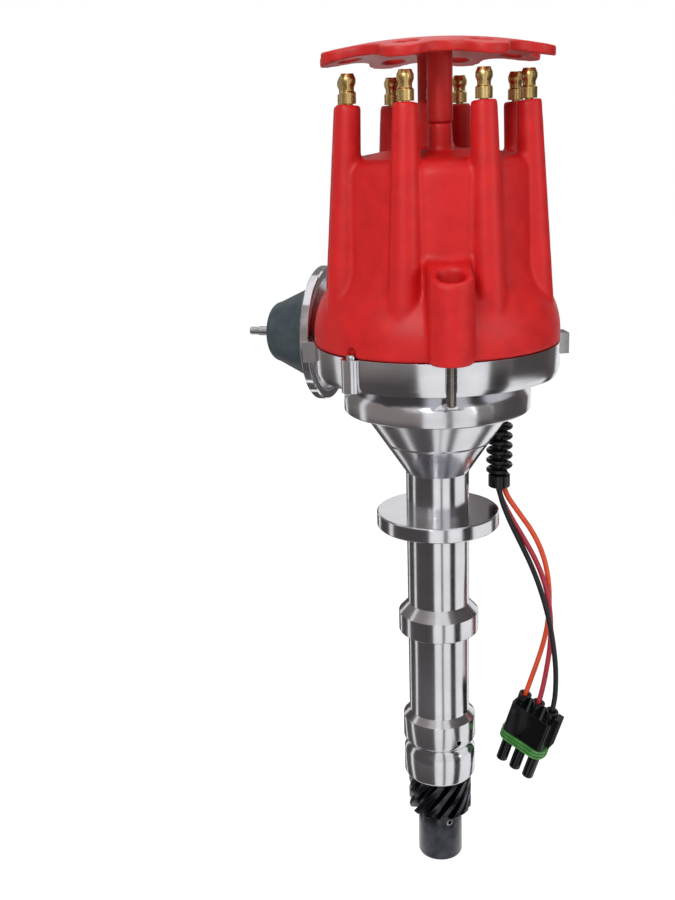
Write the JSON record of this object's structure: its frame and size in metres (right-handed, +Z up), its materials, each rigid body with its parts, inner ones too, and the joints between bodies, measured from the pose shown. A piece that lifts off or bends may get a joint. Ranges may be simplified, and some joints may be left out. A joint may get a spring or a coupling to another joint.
{
  "type": "ignition distributor",
  "caption": "Ignition distributor with a red cap and wire retainer, turned aluminium housing, helical drive gear, vacuum canister and a three-wire lead with its plug.",
  "frame": {"origin": "on the shaft axis, on the underside of the hold-down flange", "axes": "+Z up the shaft towards the cap, -Y towards the front cap latch, +X towards the lead"},
  "size_m": [0.134, 0.1247, 0.3546],
  "materials": {
    "turned_aluminium": "machined, near mirror",
    "zinc_steel": "bright zinc",
    "ground_steel": "ground",
    "black_steel": "black oxide, satin",
    "bronze": "sintered",
    "brass_bright": "turned, bright",
    "red_resin": "moulded, satin gloss",
    "black_resin": "moulded, matte",
    "black_resin_plug": "moulded, satin gloss",
    "carbon": "pressed carbon",
    "dark_coated_steel": "matte dark blue-grey coat",
    "chrome_ring": "rolled, bright",
    "black_rubber": "moulded, glossy",
    "orange_jacket": "wire jacket",
    "crimson_jacket": "wire jacket",
    "black_jacket": "wire jacket",
    "green_seal": "ribbed seal"
  },
  "bodies": {
    "housing": {"housing": "turned_aluminium", "index_screw": "zinc_steel", "lower_bushing": "bronze", "bearing_outer_race": "ground_steel", "bearing_snap_ring": "black_steel", "plate_clip": "black_steel", "ignition_module": "black_resin", "module_screws": "zinc_steel", "distributor_cap": "red_resin", "cap_terminals": "brass_bright", "coil_terminal": "brass_bright", "button_spring": "zinc_steel", "wire_retainer": "red_resin", "retainer_screws": "zinc_steel", "front_latch_spring": "zinc_steel", "rear_latch_spring": "zinc_steel", "canister_back_shell": "zinc_steel", "canister_nose": "dark_coated_steel", "canister_crimp_ring": "chrome_ring", "diaphragm": "black_rubber", "diaphragm_spring": "zinc_steel", "vacuum_nipple": "ground_steel", "canister_bracket": "zinc_steel", "bracket_screws": "zinc_steel", "strain_relief": "black_rubber", "lead_orange": "orange_jacket", "lead_red": "crimson_jacket", "lead_black": "black_jacket", "connector_body": "black_resin_plug", "connector_seal": "green_seal", "connector_pins": "brass_bright"},
    "shaft": {"main_shaft": "ground_steel", "drive_gear": "black_steel", "gear_roll_pin": "ground_steel", "centre_cam": "ground_steel", "bearing_inner_race": "ground_steel", "lower_thrust_washer": "ground_steel", "upper_thrust_collar": "ground_steel"},
    "ball_set": {"bearing_balls": "ground_steel", "bearing_cage": "bronze"},
    "advance": {"advance_base": "zinc_steel", "weight_pins": "ground_steel", "advance_springs": "zinc_steel", "reluctor": "zinc_steel", "rotor": "black_resin", "rotor_blade": "brass_bright", "rotor_screws": "zinc_steel"},
    "weight_a": {"weight_a": "zinc_steel"},
    "weight_b": {"weight_b": "zinc_steel"},
    "pickup": {"pickup_plate": "zinc_steel", "pickup_coil": "black_resin", "pickup_screws": "zinc_steel"},
    "link": {"link_rod": "zinc_steel"},
    "button": {"carbon_button": "carbon"},
    "front_washer": {"front_latch_washer": "zinc_steel"},
    "rear_washer": {"rear_latch_washer": "zinc_steel"},
    "front_latch": {"front_latch": "zinc_steel"},
    "rear_latch": {"rear_latch": "zinc_steel"}
  },
  "joints": [
    {"name": "shaft_spin", "type": "hinge", "parent": "housing", "child": "shaft", "pos_m": [0, 0, 0], "axis": [0, 0, 1], "continuous": true},
    {"name": "ball_orbit", "type": "hinge", "parent": "housing", "child": "ball_set", "pos_m": [0, 0, 0.069], "axis": [0, 0, 1], "continuous": true},
    {"name": "advance_turn", "type": "hinge", "parent": "shaft", "child": "advance", "pos_m": [0, 0, 0.09], "axis": [0, 0, 1], "range_deg": [0, 12], "stiffness_Nm_per_rad": 0.5, "springref_deg": -5.73},
    {"name": "weight_a_swing", "type": "hinge", "parent": "advance", "child": "weight_a", "pos_m": [0.01492, 0.01006, 0.0963], "axis": [0, 0, 1], "range_deg": [0, 24]},
    {"name": "weight_b_swing", "type": "hinge", "parent": "advance", "child": "weight_b", "pos_m": [-0.01492, -0.01006, 0.0963], "axis": [0, 0, 1], "range_deg": [0, 24]},
    {"name": "pickup_turn", "type": "hinge", "parent": "housing", "child": "pickup", "pos_m": [0, 0, 0.071], "axis": [0, 0, 1], "range_deg": [0, 10], "stiffness_Nm_per_rad": 0.6, "springref_deg": -5.73},
    {"name": "link_pull", "type": "slide", "parent": "housing", "child": "link", "axis": [-0.9415, 0.3371, 0], "range_m": [0, 0.0037], "deforming": ["diaphragm_spring", "diaphragm"]},
    {"name": "button_press", "type": "slide", "parent": "housing", "child": "button", "axis": [0, 0, 1], "range_m": [0, 0.0015], "stiffness_N_per_m": 120, "springref_m": -0.002, "deforming": ["button_spring"]},
    {"name": "front_latch_press", "type": "slide", "parent": "housing", "child": "front_washer", "axis": [0, 0, -1], "range_m": [0, 0.0025], "stiffness_N_per_m": 1200, "springref_m": -0.004, "deforming": ["front_latch_spring"]},
    {"name": "front_latch_turn", "type": "hinge", "parent": "front_washer", "child": "front_latch", "pos_m": [0, -0.0503, 0.097], "axis": [0, 0, 1], "range_deg": [0, 180]},
    {"name": "rear_latch_press", "type": "slide", "parent": "housing", "child": "rear_washer", "axis": [0, 0, -1], "range_m": [0, 0.0025], "stiffness_N_per_m": 1200, "springref_m": -0.004, "deforming": ["rear_latch_spring"]},
    {"name": "rear_latch_turn", "type": "hinge", "parent": "rear_washer", "child": "rear_latch", "pos_m": [0, 0.0503, 0.097], "axis": [0, 0, 1], "range_deg": [0, 180]}
  ],
  "couplings": [
    {"joint": "ball_orbit", "follows": "shaft_spin", "ratio": 0.39},
    {"joint": "weight_a_swing", "follows": "advance_turn", "ratio": 2},
    {"joint": "weight_b_swing", "follows": "advance_turn", "ratio": 2},
    {"joint": "link_pull", "follows": "pickup_turn", "m_per_rad": 0.0211}
  ]
}
